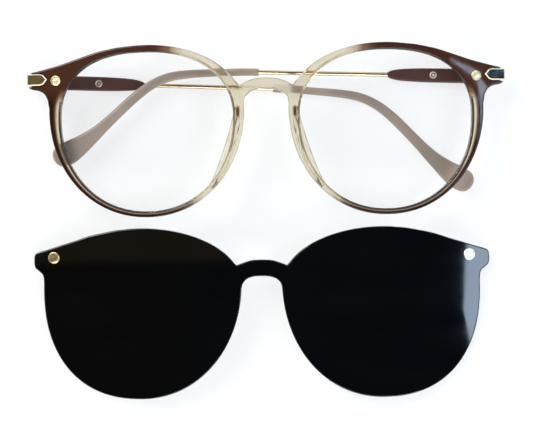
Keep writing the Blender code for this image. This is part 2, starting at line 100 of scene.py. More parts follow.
# --- Lobes: the rounded outlines of a lens, a rim and a clip lens ----------------------
# The middle is at (u, v); a is the half width, up and low are the heights above and below
# the middle. The powers say how square each quarter is, where 2 is an ellipse: nose and
# temple above, heel and foot below. lean carries the lower half outwards as it goes down.
OPENING = dict(u=35.0, v=3.55, a=25.3, up=19.4, low=27.15, nose=2.2, temple=2.4,
               heel=2.1, foot=2.1, lean=0.0)
RIM = dict(u=35.1, v=6.1, a=28.65, up=18.8, low=31.45, nose=2.03, temple=2.03,
           heel=2.07, foot=2.07, lean=0.0)
CLIP = dict(u=35.4, v=7.1, a=29.5, up=16.6, low=34.3, nose=2.0, temple=2.0,
            heel=2.08, foot=2.3, lean=0.03)
LOOP_POINTS = 160


def lobe_point(lobe, angle, grow=0.0):
    """A point on a lobe; angle 0 is the temple side and 90 degrees the brow."""
    cosine, sine = math.cos(angle), math.sin(angle)
    if sine < 0:
        power = lobe["foot"] if cosine > 0 else lobe["heel"]
    else:
        power = lobe["temple"] if cosine > 0 else lobe["nose"]
    height = lobe["up"] if sine >= 0 else lobe["low"]
    u = math.copysign(abs(cosine) ** (2 / power), cosine) * (lobe["a"] + grow)
    v = math.copysign(abs(sine) ** (2 / power), sine) * (height + grow)
    return lobe["u"] + u - lobe["lean"] * min(v, 0), lobe["v"] + v


def lobe_arc(lobe, start, end, count):
    """Points from one angle to another, both in degrees."""
    pitch = math.radians(end - start) / (count - 1)
    return [lobe_point(lobe, math.radians(start) + i * pitch) for i in range(count)]


def lobe_loop(lobe, grow=0.0):
    """The whole outline of a lobe, moved outwards by grow."""
    return [lobe_point(lobe, 2 * math.pi * i / LOOP_POINTS, grow)
            for i in range(LOOP_POINTS)]


def smooth(points, steps=6):
    """A Catmull-Rom curve through given points, ends included."""
    ends = [points[0], *points, points[-1]]
    made = []
    for a, b, c, d in zip(ends, ends[1:], ends[2:], ends[3:]):
        for i in range(steps):
            t = i / steps
            made.append(tuple(
                0.5 * (2 * q + (r - p) * t + (2 * p - 5 * q + 4 * r - s) * t * t
                       + (3 * q - p - 3 * r + s) * t ** 3)
                for p, q, r, s in zip(a, b, c, d)))
    return [*made, tuple(points[-1])]


def mirrored(half):
    """A closed outline from its right half, which starts and ends on the middle line."""
    return half + [(-u, v) for u, v in reversed(half[1:-1])]


def to_side(loop, side):
    return [(side * u, v) for u, v in loop]


# --- Mesh helpers ----------------------------------------------------------------------
MERGE_WITHIN = 0.01
# How far a cutter stands out of the surface that it cuts.
PAST = 1


def add(name, mesh):
    obj = bpy.data.objects.new(name, mesh)
    bpy.context.scene.collection.objects.link(obj)
    return obj


def evaluated_mesh(obj):
    bpy.context.view_layer.update()
    graph = bpy.context.evaluated_depsgraph_get()
    return bpy.data.meshes.new_from_object(obj.evaluated_get(graph))


def baked(obj):
    """Applies a piece's modifiers."""
    mesh = evaluated_mesh(obj)
    obj.modifiers.clear()
    obj.data = mesh
    return obj


def edit(obj, change):
    """Changes a piece's mesh through bmesh."""
    shape = bmesh.new()
    shape.from_mesh(obj.data)
    change(shape)
    shape.to_mesh(obj.data)
    shape.free()
    return obj


def plate(name, loops, low, high, edge=0.0, edge_steps=3):
    """A flat outline made solid from z low to z high, its edges rounded by edge."""
    curve = bpy.data.curves.new(name, "CURVE")
    curve.dimensions = "2D"
    curve.fill_mode = "BOTH"
    curve.extrude = (high - low) / 2 - edge
    curve.bevel_depth = edge
    curve.bevel_resolution = edge_steps
    curve.offset = -edge
    for loop in loops:
        spline = curve.splines.new("POLY")
        spline.points.add(len(loop) - 1)
        for point, (u, v) in zip(spline.points, loop):
            point.co = (u, v, 0, 1)
        spline.use_cyclic_u = True
    source = add(name + "_outline", curve)
    mesh = evaluated_mesh(source)
    bpy.data.objects.remove(source)

    def close_up(shape):
        bmesh.ops.remove_doubles(shape, verts=shape.verts, dist=MERGE_WITHIN)
        bmesh.ops.translate(shape, verts=shape.verts, vec=(0, 0, (low + high) / 2))
        bmesh.ops.recalc_face_normals(shape, faces=shape.faces)

    return edit(add(name, mesh), close_up)


def turned(name, profile, segments=48):
    """A profile of (radius, z) points, from the top middle to the bottom middle, turned."""
    shape = bmesh.new()
    rings = []
    for radius, z in profile:
        if radius == 0:
            rings.append([shape.verts.new((0, 0, z))])
            continue
        rings.append([
            shape.verts.new((radius * math.cos(2 * math.pi * i / segments),
                             radius * math.sin(2 * math.pi * i / segments), z))
            for i in range(segments)])
    for upper, lower in zip(rings, rings[1:]):
        for i in range(segments):
            j = (i + 1) % segments
            corners = [upper[i % len(upper)], lower[i % len(lower)],
                       lower[j % len(lower)], upper[j % len(upper)]]
            shape.faces.new(list(dict.fromkeys(corners)))
    bmesh.ops.recalc_face_normals(shape, faces=shape.faces)
    mesh = bpy.data.meshes.new(name)
    shape.to_mesh(mesh)
    shape.free()
    return add(name, mesh)


def seated(name, profile, side):
    """A turned piece on the axis of a magnet."""
    made = turned(name, profile)
    made.data.transform(curve_seat(side))
    return made


def hole_profile(radius, depth):
    """The profile of a round cutter."""
    return [(0, PAST), (radius, PAST), (radius, -depth), (0, -depth)]


def combine(obj, others, operation):
    """Joins other pieces to this one, or cuts them out of it, and removes them."""
    for other in others:
        join = obj.modifiers.new(operation.lower(), "BOOLEAN")
        join.operation = operation
        join.object = other
    baked(obj)
    for other in others:
        bpy.data.objects.remove(other)
    return obj


# Each direction of the grid, and how far it reaches from the middle.
GRID = (((1, 0, 0), 72), ((0, 1, 0), 36))
FLAT_WITHIN = 0.01


def slice_up(obj, pitch):
    """Cuts the flat faces along a square grid, so that they bend smoothly."""
    def cut(shape):
        bmesh.ops.dissolve_limit(
            shape, angle_limit=FLAT_WITHIN, verts=shape.verts[:], edges=shape.edges[:])
        for across, reach in GRID:
            count = int(reach / pitch) + 1
            for i in range(-count, count + 1):
                middle = [c * (i + 0.5) * pitch for c in across]
                bmesh.ops.bisect_plane(
                    shape, geom=shape.verts[:] + shape.edges[:] + shape.faces[:],
                    dist=0.0001, plane_co=middle, plane_no=across)

    return edit(obj, cut)


def bend(obj):
    """Bends a flat piece to the base curve."""
    for vertex in obj.data.vertices:
        u, v = vertex.co.x, vertex.co.y
        vertex.co.z -= (u * u + v * v) / (2 * BASE_RADIUS)
    return obj


# A face lies along the base curve where the cosine between the two is over this.
ALONG_CURVE = 0.999


def base_normals(obj, turn):
    """The base curve's own normal at each corner of a face that lies along the curve, so
    that reflections run smoothly over it, and a zero at every other corner."""
    normals = []
    for face in obj.data.polygons:
        for index in face.vertices:
            u, v, _ = obj.data.vertices[index].co
            exact = Vector((u, v, BASE_RADIUS)).normalized()
            facing = face.normal.dot(exact)
            along = abs(facing) > ALONG_CURVE
            normals.append(turn @ exact * math.copysign(1, facing) if along else (0, 0, 0))
    return normals


def place(obj, matrix, body, paint, replaced=(), sharp=50, curved=False):
    """Sets a finished piece in its place, in metres, on the body it moves with."""
    exact = base_normals(obj, matrix.to_3x3()) if curved else None
    obj.data.transform(Matrix.Scale(MM, 4) @ matrix)
    obj.data.shade_smooth()
    obj.data.set_sharp_from_angle(angle=math.radians(sharp))
    if curved:
        obj.data.normals_split_custom_set(exact)
    else:
        even = obj.modifiers.new("even_normals", "WEIGHTED_NORMAL")
        even.keep_sharp = True
    obj.data.materials.clear()
    obj.data.materials.append(paint)
    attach(obj, body)
    if replaced:
        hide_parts(*replaced)
    return obj


# --- Materials -------------------------------------------------------------------------
# The middle range of a noise node's values, where nearly all of them are.
NOISE_LOW, NOISE_HIGH = 0.3, 0.7


def new_material(name):
    made = bpy.data.materials.new(name)
    made.use_nodes = True
    return made, made.node_tree, made.node_tree.nodes["Principled BSDF"]


def feed(tree, socket, value):
    """Links another socket to this one, or sets it to a number."""
    if isinstance(value, bpy.types.NodeSocket):
        tree.links.new(value, socket)
    else:
        socket.default_value = value


def axes(tree, vector):
    """The X, Y and Z sockets of a vector."""
    made = tree.nodes.new("ShaderNodeSeparateXYZ")
    tree.links.new(vector, made.inputs["Vector"])
    return made.outputs


def noise(tree, scale, detail=2.0, stretch=(1, 1, 1)):
    """Noise in the piece's own coordinates, so that it moves with the piece."""
    where = tree.nodes.new("ShaderNodeTexCoord")
    shaped = tree.nodes.new("ShaderNodeMapping")
    shaped.inputs["Scale"].default_value = stretch
    made = tree.nodes.new("ShaderNodeTexNoise")
    made.inputs["Scale"].default_value = scale
    made.inputs["Detail"].default_value = detail
    tree.links.new(where.outputs["Object"], shaped.inputs["Vector"])
    tree.links.new(shaped.outputs["Vector"], made.inputs["Vector"])
    return made.outputs["Fac"]


def ramp(tree, value, stops):
    """Colours along a value, from (position, colour) stops."""
    made = tree.nodes.new("ShaderNodeValToRGB")
    for element, (position, colour) in zip(made.color_ramp.elements, stops):
        element.position = position
        element.color = (*colour, 1)
    for position, colour in stops[2:]:
        element = made.color_ramp.elements.new(position)
        element.color = (*colour, 1)
    tree.links.new(value, made.inputs["Fac"])
    return made.outputs["Color"]


def mixed(tree, kind, factor, first, second):
    """Two colours mixed; the factor is a socket or a number."""
    made = tree.nodes.new("ShaderNodeMix")
    made.data_type = "RGBA"
    made.blend_type = kind
    feed(tree, made.inputs["Factor"], factor)
    tree.links.new(first, made.inputs["A"])
    tree.links.new(second, made.inputs["B"])
    return made.outputs["Result"]


def bumped(tree, shader, height, strength, depth):
    bump = tree.nodes.new("ShaderNodeBump")
    bump.inputs["Strength"].default_value = strength
    bump.inputs["Distance"].default_value = depth
    tree.links.new(height, bump.inputs["Height"])
    tree.links.new(bump.outputs["Normal"], shader.inputs["Normal"])


def mapped(tree, value, low, high, start=NOISE_LOW, end=NOISE_HIGH):
    """low where the value is start, high where it is end, and straight between them."""
    made = tree.nodes.new("ShaderNodeMapRange")
    made.inputs["From Min"].default_value = start
    made.inputs["From Max"].default_value = end
    made.inputs["To Min"].default_value = low
    made.inputs["To Max"].default_value = high
    tree.links.new(value, made.inputs["Value"])
    return made.outputs["Result"]


def plastic(name, colours, roughness, gloss):
    """Moulded plastic: a slight cloudiness in the colour and an orange-peel gloss."""
    made, tree, shader = new_material(name)
    shader.inputs["Specular IOR Level"].default_value = gloss
    cloud = noise(tree, 60, 3)
    tree.links.new(ramp(tree, cloud, [(NOISE_LOW, colours[0]), (NOISE_HIGH, colours[1])]),
                   shader.inputs["Base Color"])
    tree.links.new(mapped(tree, noise(tree, 250), *roughness), shader.inputs["Roughness"])
    bumped(tree, shader, noise(tree, 900), 0.05, 0.0001)
    return made


# The darkest marks in a plating, as a share of its colour.
WORN = 0.86


def metal(name, colour, roughness, brushed=(1, 1, 1)):
    """Plated metal with fine handling marks in its colour and its gloss."""
    made, tree, shader = new_material(name)
    shader.inputs["Metallic"].default_value = 1.0
    wear = noise(tree, 700, 4, brushed)
    darker = tuple(WORN * c for c in colour)
    tree.links.new(ramp(tree, wear, [(0.35, darker), (0.65, colour)]),
                   shader.inputs["Base Color"])
    tree.links.new(mapped(tree, wear, *roughness), shader.inputs["Roughness"])
    return made


def math_node(tree, operation, *values):
    """One Math node; its values are sockets or numbers."""
    made = tree.nodes.new("ShaderNodeMath")
    made.operation = operation
    for socket, value in zip(made.inputs, values):
        feed(tree, socket, value)
    return made.outputs["Value"]


def step(tree, value, low, high):
    """0 at low, 1 at high and an even S between them; low may be the larger."""
    made = tree.nodes.new("ShaderNodeMapRange")
    made.interpolation_type = "SMOOTHSTEP"
    tree.links.new(value, made.inputs["Value"])
    feed(tree, made.inputs["From Min"], low)
    feed(tree, made.inputs["From Max"], high)
    return made.outputs["Result"]


def times(tree, *values):
    product = values[0]
    for value in values[1:]:
        product = math_node(tree, "MULTIPLY", product, value)
    return product


def distance(tree, value, middle):
    """How far a value is from the middle, either way."""
    return math_node(tree, "ABSOLUTE", math_node(tree, "SUBTRACT", value, middle))


def lobe_level(tree, lobe, u, v):
    """1 on the outline of a lobe, less inside it and more outside it."""
    above = math_node(tree, "GREATER_THAN", v, lobe["v"])
    height = math_node(tree, "MULTIPLY_ADD", above, lobe["up"] - lobe["low"], lobe["low"])
    power = lobe["foot"]
    parts = [
        math_node(tree, "POWER", math_node(
            tree, "DIVIDE", distance(tree, value, lobe[middle]), half), power)
        for value, middle, half in ((u, "u", lobe["a"]), (v, "v", height))]
    return math_node(tree, "POWER", math_node(tree, "ADD", *parts), 1 / power)


# The front's colours run from clear, 0, to brown, 1. Places are millimetres on the front,
# and a pair says where something starts and where it is there in full.
# The brown starts FADE_FROM from the middle at the foot of the rims and, as v goes
# through FADE_RISES, FADE_RISE further out. It is full FADE_LENGTH further on.
FADE_FROM, FADE_RISE, FADE_LENGTH = 16.0, 6.0, 11.0
FADE_RISES = (-18.0, 14.0)
LOW_RIM = (13.0, 7.0)
# Shares of the way across the rim, from the lens, 0, to the outside, 1: the clear lip
# along the lens, and the painted shade along the outside of the lower rim and the brow.
LIP_SHARE, LIP_CLEAR = (0.62, 0.36), 0.9
LOW_OUTSIDE_SHARE = (0.55, 0.85)
BROW_OUTSIDE_SHARE, BROW_OUTSIDE_SHADE = (0.60, 0.95), 0.8
BROW_ENDS = (52.0, 42.0)
# A painted shadow, as brown, at each end of the bridge where it meets the rims.
NOTCH_SHADOW_U, NOTCH_SHADOW_ACROSS = 8.3, (0.9, 0.1)
NOTCH_SHADOW_V, NOTCH_SHADOW_ALONG = 4.9, (2.4, 0.6)
NOTCH_SHADOW_BROWN = 0.95
# The nose pads are below this z, and an edge is rounded, and gets painted shade, where its
# normal's Z is lower.
ABOVE_PADS = (-3.4, -2.4)
TURNED_AWAY = (0.99, 0.7)
# The bridge lets less light through, and so does all that is brown.
MILKY_BRIDGE, MILKY = (8.5, 6.0), 0.4
MOST_CLEAR, CLEAR_TO, DENSE_FROM = 0.94, 0.15, 0.75
FACE_COLOURS = [(0.0, (0.79, 0.72, 0.57)), (0.35, (0.60, 0.50, 0.36)),
                (0.6, (0.20, 0.11, 0.06)), (1.0, (0.048, 0.017, 0.009))]
# The painted shade of the rounded edges and the outsides of the rims: darker copies of the face
# colours.
SHADED_EDGE_COLOURS = [(0.0, (0.38, 0.30, 0.15)), (0.35, (0.22, 0.16, 0.09)),
                (0.6, (0.06, 0.030, 0.015)), (1.0, (0.010, 0.003, 0.001))]


def front_brown(tree, u, v, faded, share, low_rim):
    """How brown each place on the front is. The lower rims are clear along the lens, and each end
    of the bridge gets a painted shadow, as brown.
    """
    lip = times(tree, step(tree, share, *LIP_SHARE), low_rim)
    brown = times(tree, faded, math_node(tree, "SUBTRACT", 1.0, times(tree, lip, LIP_CLEAR)))
    # A painted shadow, as brown, at each end of the bridge.
    notch_shadow = times(tree, step(tree, distance(tree, u, NOTCH_SHADOW_U), *NOTCH_SHADOW_ACROSS),
                   step(tree, distance(tree, v, NOTCH_SHADOW_V), *NOTCH_SHADOW_ALONG), NOTCH_SHADOW_BROWN)
    return math_node(tree, "MAXIMUM", brown, notch_shadow)


def front_painted_shade(tree, u, z, facing_up, faded, share, low_rim):
    """The painted shade on the front: the outside of the rims and the rounded edges are
    painted darker, apart from the edges of the nose pads."""
    # Painted shade along the outside of the lower rims and of the brow.
    low_outside_shade = times(tree, step(tree, share, *LOW_OUTSIDE_SHARE), low_rim, faded)
    brow_outside_shade = times(tree, step(tree, share, *BROW_OUTSIDE_SHARE),
                         step(tree, u, *BROW_ENDS), faded, BROW_OUTSIDE_SHADE)
    above_pads = step(tree, z, *ABOVE_PADS)
    # Painted shade on the edges that turn away from straight up.
    rounded = times(tree, step(tree, facing_up, *TURNED_AWAY),
                    math_node(tree, "MAXIMUM", faded, above_pads))
    return math_node(tree, "MAXIMUM", rounded,
                     math_node(tree, "MAXIMUM", low_outside_shade, brow_outside_shade))


def faded_plastic():
    """The front's plastic: clear champagne over the nose, faded to dark brown outside.

    It is painted by u, v and z, the place on the front in millimetres."""
    made, tree, shader = new_material("faded_plastic")
    where = tree.nodes.new("ShaderNodeTexCoord")
    on_front = tree.nodes.new("ShaderNodeMapping")
    on_front.inputs["Scale"].default_value = (1 / MM, 1 / MM, 1 / MM)
    on_front.inputs["Location"].default_value = -FRONT_PLACE.translation
    tree.links.new(where.outputs["Object"], on_front.inputs["Vector"])
    x, v, z = axes(tree, on_front.outputs["Vector"])
    u = math_node(tree, "ABSOLUTE", x)
    facing_up = axes(tree, where.outputs["Normal"])["Z"]

    fade_from = math_node(tree, "MULTIPLY_ADD", step(tree, v, *FADE_RISES), FADE_RISE,
                          FADE_FROM)
    faded = step(tree, u, fade_from, math_node(tree, "ADD", fade_from, FADE_LENGTH))
    past_lens = math_node(tree, "SUBTRACT", lobe_level(tree, OPENING, u, v), 1.0)
    to_outside = math_node(tree, "SUBTRACT", 1.0, lobe_level(tree, RIM, u, v))
    share = math_node(tree, "DIVIDE", past_lens,
                      math_node(tree, "ADD", past_lens, to_outside))
    low_rim = step(tree, v, *LOW_RIM)
    brown = front_brown(tree, u, v, faded, share, low_rim)
    # The painted shade of the edges, mixed over the face colours.
    dark = front_painted_shade(tree, u, z, facing_up, faded, share, low_rim)
    tree.links.new(
        mixed(tree, "MIX", dark, ramp(tree, brown, FACE_COLOURS),
              ramp(tree, brown, SHADED_EDGE_COLOURS)),
        shader.inputs["Base Color"])
    clear = mapped(tree, brown, MOST_CLEAR, 0.0, CLEAR_TO, DENSE_FROM)
    milky = times(tree, step(tree, u, *MILKY_BRIDGE), MILKY)
    tree.links.new(times(tree, clear, math_node(tree, "SUBTRACT", 1.0, milky)),
                   shader.inputs["Transmission Weight"])
    tree.links.new(mapped(tree, noise(tree, 300), 0.02, 0.06), shader.inputs["Roughness"])
    shader.inputs["IOR"].default_value = 1.5
    shader.inputs["Specular IOR Level"].default_value = 0.35
    return made


def clear_lens_material():
    """A clear coated lens: nearly nothing but its reflections."""
    made, tree, shader = new_material("clear_lens")
    shader.inputs["Base Color"].default_value = (0.20, 0.22, 0.22, 1)
    tree.links.new(mapped(tree, noise(tree, 90), 0.01, 0.03), shader.inputs["Roughness"])
    shader.inputs["Alpha"].default_value = 0.03
    return made


def tinted_lens_material():
    """The clip's nearly black sheet, with faint smears in its gloss."""
    made, tree, shader = new_material("tinted_lens")
    smear = noise(tree, 45, 4, (1, 2.5, 1))
    tree.links.new(ramp(tree, smear, [(NOISE_LOW, (0.0010, 0.0010, 0.0010)),
                                      (NOISE_HIGH, (0.0018, 0.0018, 0.0017))]),
                   shader.inputs["Base Color"])
    tree.links.new(mapped(tree, smear, 0.02, 0.06), shader.inputs["Roughness"])
    return made


FADED = faded_plastic()
CLEAR = clear_lens_material()
TINTED = tinted_lens_material()
GOLD = metal("gold_plate", (0.86, 0.77, 0.60), (0.03, 0.08))
GOLD_ROD = metal("gold_rod", (0.72, 0.60, 0.40), (0.14, 0.28), (0.15, 1, 1))
GOLD_DISC = metal("gold_disc", (0.80, 0.67, 0.39), (0.30, 0.38))
EMBLEM = metal("satin_gold", (0.80, 0.70, 0.52), (0.40, 0.50))
CLIP_GOLD = metal("clip_gold", (0.68, 0.55, 0.30), (0.24, 0.36))
SILVER = metal("silver_plate", (0.95, 0.95, 0.95), (0.32, 0.42))
STEEL = metal("hinge_steel", (0.55, 0.55, 0.56), (0.22, 0.40))
NICKEL = metal("magnet_nickel", (0.50, 0.50, 0.52), (0.20, 0.36))
SLEEVE = plastic("brown_sleeve", ((0.058, 0.017, 0.011), (0.078, 0.024, 0.016)),
                 (0.30, 0.42), 0.2)
TIP = plastic("beige_tip", ((0.25, 0.19, 0.145), (0.30, 0.235, 0.185)),
              (0.30, 0.40), 0.5)


# --- The spectacle front ---------------------------------------------------------------
def front_outline():
    """The outer outline: bridge top, brow, end piece, rim and the underside of the bridge,
    on the right and then mirrored."""
    bridge_top = smooth([(0, 14.75), (3.05, 14.55), (5.7, 13.7), (7.6, 12.7)])
    past_notch = [(8.75, 13.8)]
    brow = lobe_arc(RIM, 149, 84, 60)
    end_piece = smooth([
        (43.75, 24.3), (49.6, 23.1), (54.9, 21.45), (60.4, 19.65), (66.1, 18.2),
        (69.0, 17.55), (69.9, 16.9), (70.1, 15.8), (70.1, 14.2), (69.7, 13.1),
        (68.7, 12.55), (66.9, 12.2), (65.2, 11.2), (64.2, 9.5)])
    rim = lobe_arc(RIM, 2, -184, 150)
    bridge_under = smooth([(6.2, 9.2), (5.6, 9.9), (4.4, 10.8), (2.3, 11.6), (0, 11.8)])
    return mirrored(bridge_top + past_notch + brow + end_piece + rim + bridge_under)


# A nose pad follows the rim from PAD_FROM, in degrees, over PAD_SWEEP. It starts
# PAD_ROOT inside the rim, is PAD_DEPTH deep at its ends and PAD_SWELL deeper in its
# middle, and leans outwards by PAD_FLARE of its depth.
PAD_FROM, PAD_SWEEP = 176, 50
PAD_ROOT, PAD_DEPTH, PAD_SWELL, PAD_FLARE = 0.9, 1.4, 4.8, 0.42
PAD_THICK, PAD_EDGE = 1.4, 0.45


def nose_pad(side):
    """The moulded pad: a fin behind the nose side of the rim that flares with depth."""
    shape = bmesh.new()
    bmesh.ops.create_grid(shape, x_segments=36, y_segments=8, size=0.5)
    for vertex in shape.verts:
        along, deep = vertex.co.x + 0.5, vertex.co.y + 0.5
        angle = math.radians(PAD_FROM + PAD_SWEEP * along)
        inner = lobe_point(OPENING, angle)
        outer = lobe_point(RIM, angle)
        root_u, root_v = [(a + b) / 2 for a, b in zip(inner, outer)]
        depth = deep * (PAD_DEPTH + PAD_SWELL * math.sin(math.pi * along))
        vertex.co = (side * (root_u + PAD_FLARE * depth), root_v,
                     PAD_ROOT - RIM_DEPTH - depth)
    mesh = bpy.data.meshes.new("nose_pad")
    shape.to_mesh(mesh)
    shape.free()
    pad = add("nose_pad", mesh)
    wall = pad.modifiers.new("wall", "SOLIDIFY")
    wall.thickness = PAD_THICK
    wall.offset = 0
    soft = pad.modifiers.new("soft_edges", "BEVEL")
    soft.width = PAD_EDGE
    soft.segments = 3
    soft.angle_limit = math.radians(50)
    baked(pad)
    return edit(pad, lambda shape: bmesh.ops.recalc_face_normals(shape, faces=shape.faces))


# The pointed face of an end cap, and the slot for it, which is cut past the front's end.
CAP_END, CAP_BOTTOM, CAP_TOP = 70.35, 13.7, 17.1
SLOT_END, SLOT_BOTTOM, SLOT_TOP = 71.8, 13.35, 17.45
BULLET = [(64.25, 15.4), (65.45, 16.8), (66.45, CAP_TOP), (CAP_END, CAP_TOP),
          (CAP_END, CAP_BOTTOM), (66.45, CAP_BOTTOM), (65.45, 14.0)]
BULLET_CUT = [(63.85, 15.4), (65.25, 17.1), (66.35, SLOT_TOP), (SLOT_END, SLOT_TOP),
              (SLOT_END, SLOT_BOTTOM), (66.35, SLOT_BOTTOM), (65.25, 13.7)]
CAP_SINK, CAP_PROUD, CAP_CHAMFER, CAP_SLOT_DEPTH = 0.5, 0.45, 0.32, 0.8
TONGUE_FROM, TONGUE_GAP, TONGUE_BACK, TONGUE_EDGE = 69.45, 0.05, 7.2, 0.2
TONGUE_SLOT_FROM, TONGUE_SLOT_BACK = 69.1, 5
POCKET_RADIUS, POCKET_DEPTH = 1.66, 3.0
GROOVE_DEPTH, GROOVE_HALF, GROOVE_TAPER = 0.7, 1.15, 0.9
RIM_EDGE = 0.45
LENS_PAST_RIM, LENS_BEVEL = 0.4, 0.75
FRONT_GRID, LENS_GRID = 1.5, 4


def block(name, side, reach, rise, low, high, edge=0.0, edge_steps=3):
    """A plate with square corners over reach in u, on its side, and rise in v."""
    (start, end), (bottom, top) = sorted(side * u for u in reach), rise
    corners = [(start, bottom), (end, bottom), (end, top), (start, top)]
    return plate(name, [corners], low, high, edge, edge_steps)


def front_cutters(side):
    """What is cut from the front on one side: the lens groove and the end cap's slots."""
    middle = -RIM_DEPTH / 2
    groove = plate("groove", [to_side(lobe_loop(OPENING, GROOVE_DEPTH), side)],
                   middle - GROOVE_HALF, middle + GROOVE_HALF, GROOVE_TAPER, 0)
    face_slot = plate("face_slot", [to_side(BULLET_CUT, side)], -CAP_SLOT_DEPTH, PAST)
    side_slot = block("side_slot", side, (TONGUE_SLOT_FROM, SLOT_END),
                      (SLOT_BOTTOM, SLOT_TOP), -TONGUE_SLOT_BACK, PAST)
    return [groove, face_slot, side_slot]


def build_front():
    """The moulded front with its nose pads, grooves, slots and magnet pockets."""
    loops = [front_outline()]
    loops += [to_side(lobe_loop(OPENING), side) for side in SIDES]
    front = plate("front", loops, -RIM_DEPTH, 0, RIM_EDGE)
    combine(front, [nose_pad(side) for side in SIDES], "UNION")
    combine(front, [c for side in SIDES for c in front_cutters(side)], "DIFFERENCE")
    bend(slice_up(front, FRONT_GRID))
    combine(front, [seated("pocket", hole_profile(POCKET_RADIUS, POCKET_DEPTH), side)
                    for side in SIDES], "DIFFERENCE")
    place(front, FRONT_PLACE, "front", FADED, ["front_frame"], 40,
          curved=True)


def build_lens(side):
    """A clear lens, whose bevelled edge sits in the groove."""
    name = f"lens_{SIDES[side]}"
    lens = plate(name + "_shown", [to_side(lobe_loop(OPENING, LENS_PAST_RIM), side)],
                 -RIM_DEPTH / 2 - LENS_THICK / 2, -RIM_DEPTH / 2 + LENS_THICK / 2,
                 LENS_BEVEL, 0)
    bend(slice_up(lens, LENS_GRID))
    place(lens, FRONT_PLACE, "front", CLEAR, [name], curved=True)


def build_end_cap(side):
    """A pointed plate with bright chamfers, and a tongue back along the outside."""
    name = f"end_cap_{SIDES[side]}"
    cap = plate(name + "_shown", [to_side(BULLET, side)], -CAP_SINK, CAP_PROUD,
                CAP_CHAMFER, 0)
    tongue = block("tongue", side, (TONGUE_FROM, CAP_END),
                   (CAP_BOTTOM + TONGUE_GAP, CAP_TOP - TONGUE_GAP), -TONGUE_BACK, 0.1,
                   TONGUE_EDGE, 1)
    combine(cap, [tongue], "UNION")
    place(bend(cap), FRONT_PLACE, "front", GOLD, [name], 20)


def build_magnet_cap(side):
    """The disc on the front's face: dished, with a raised rounded rim."""
    name = f"front_magnet_cap_{SIDES[side]}"
    cap = seated(name + "_shown", [
        (0, 0.2), (0.55, 0.19), (1.0, 0.15), (1.12, 0.16), (1.2, 0.24), (1.34, 0.25),
        (1.44, 0.21), (1.5, 0.12), (1.5, -0.52), (1.42, -0.6), (0, -0.6)], side)
    place(cap, FRONT_PLACE, "front", GOLD_DISC, [name], 60)


# --- Temples ---------------------------------------------------------------------------
# They are drawn flat from the hinge screw: s along the temple and w across it.
SLEEVE_THICK, SLEEVE_EDGE = 2.4, 0.65
SLEEVE_FROM, SLEEVE_TO = 2.2, 31.0
EMBLEM_AT = 17.3
TIP_THICK, TIP_EDGE = 2.3, 0.85
TIP_BLUNT, TIP_END_STEPS = 0.85, 28
# The line along the middle of the tip, as points of s, w and the width there.
TIP_LINE = [(69.2, 0, 2.1), (75.0, -0.1, 2.2), (81.0, -0.4, 2.2), (89.5, -0.95, 2.4),
            (95.6, -2.0, 2.6), (100.7, -4.3, 2.7), (105.8, -8.2, 2.9),
            (112.4, -14.5, 3.1), (117.0, -18.9, 3.9), (121.0, -22.2, 5.4),
            (124.6, -24.7, 6.8), (126.9, -25.95, 6.6)]


def placed(points, side):
    """Turns a temple's outline towards the middle, from the hinge of its side."""
    return [(-side * s, w) for s, w in points]


def build_sleeve(side):
    """The brown sleeve: nearly straight, with a rounded point towards the rod."""
    name = f"temple_sleeve_{SIDES[side]}"
    upper = smooth([(SLEEVE_FROM, 1.75), (3.4, 2.0), (10.0, 2.1), (20.0, 2.05),
                    (26.5, 1.75), (29.5, 1.25), (30.7, 0.7), (SLEEVE_TO, 0.0)])
    outline = upper + [(s, -w) for s, w in reversed(upper[:-1])]
    sleeve = plate(name + "_shown", [placed(outline, side)],
                   TEMPLE_OFFSET - SLEEVE_THICK / 2, TEMPLE_OFFSET + SLEEVE_THICK / 2,
                   SLEEVE_EDGE)
    place(sleeve, temple_place(side), f"temple_{SIDES[side]}", SLEEVE,
          [name], 60)


def build_emblem(side):
    """A plain ring and stud let into the sleeve, on its front and its back."""
    for face, label in ((1, "outer"), (-1, "inner")):
        top = TEMPLE_OFFSET + face * SLEEVE_THICK / 2
        stud = turned(f"emblem_{label}_{SIDES[side]}", [
            (0, 0.06), (0.34, 0.05), (0.44, -0.02), (0.66, -0.02), (0.76, 0.06),
            (0.98, 0.06), (1.08, -0.02), (1.08, -0.1), (0, -0.1)], segments=32)
        stud.data.transform(Matrix.Translation((-side * EMBLEM_AT, 0, top))
                            @ Matrix.Scale(face, 4, (0, 0, 1)))
        place(stud, temple_place(side), f"temple_{SIDES[side]}", EMBLEM,
              sharp=60)


def tip_outline():
    """The tip's outline: half the width to each side of its line, and a round end."""
    line = smooth(TIP_LINE, 8)
    upper, lower = [], []
    for i, (s, w, width) in enumerate(line):
        before, after = line[max(i - 1, 0)], line[min(i + 1, len(line) - 1)]
        along = Vector((after[0] - before[0], after[1] - before[1])).normalized()
        out = Vector((-along.y, along.x)) * width / 2
        upper.append((s + out.x, w + out.y))
        lower.append((s - out.x, w - out.y))
    end, radius = Vector(line[-1][:2]), line[-1][2] / 2
    cap = []
    for i in range(1, TIP_END_STEPS):
        turn = math.pi * i / TIP_END_STEPS
        cap.append(tuple(end + out.normalized() * radius * math.cos(turn)
                         + along * radius * TIP_BLUNT * math.sin(turn)))
    return upper + cap + lower[::-1]


def build_tip(side):
    """The beige tip, which bends down and widens to a paddle behind the ear."""
    name = f"temple_tip_{SIDES[side]}"
    tip = plate(name + "_shown", [placed(tip_outline(), side)],
                TEMPLE_OFFSET - TIP_THICK / 2, TEMPLE_OFFSET + TIP_THICK / 2,
                TIP_EDGE, 4)
    place(tip, temple_place(side), f"temple_{SIDES[side]}", TIP, [name], 60)


# --- The clip --------------------------------------------------------------------------
RIVET_HOLE_RADIUS, RIVET_HOLE_DEPTH = 0.92, 4
SHIELD_EDGE, SHIELD_GRID = 0.35, 3


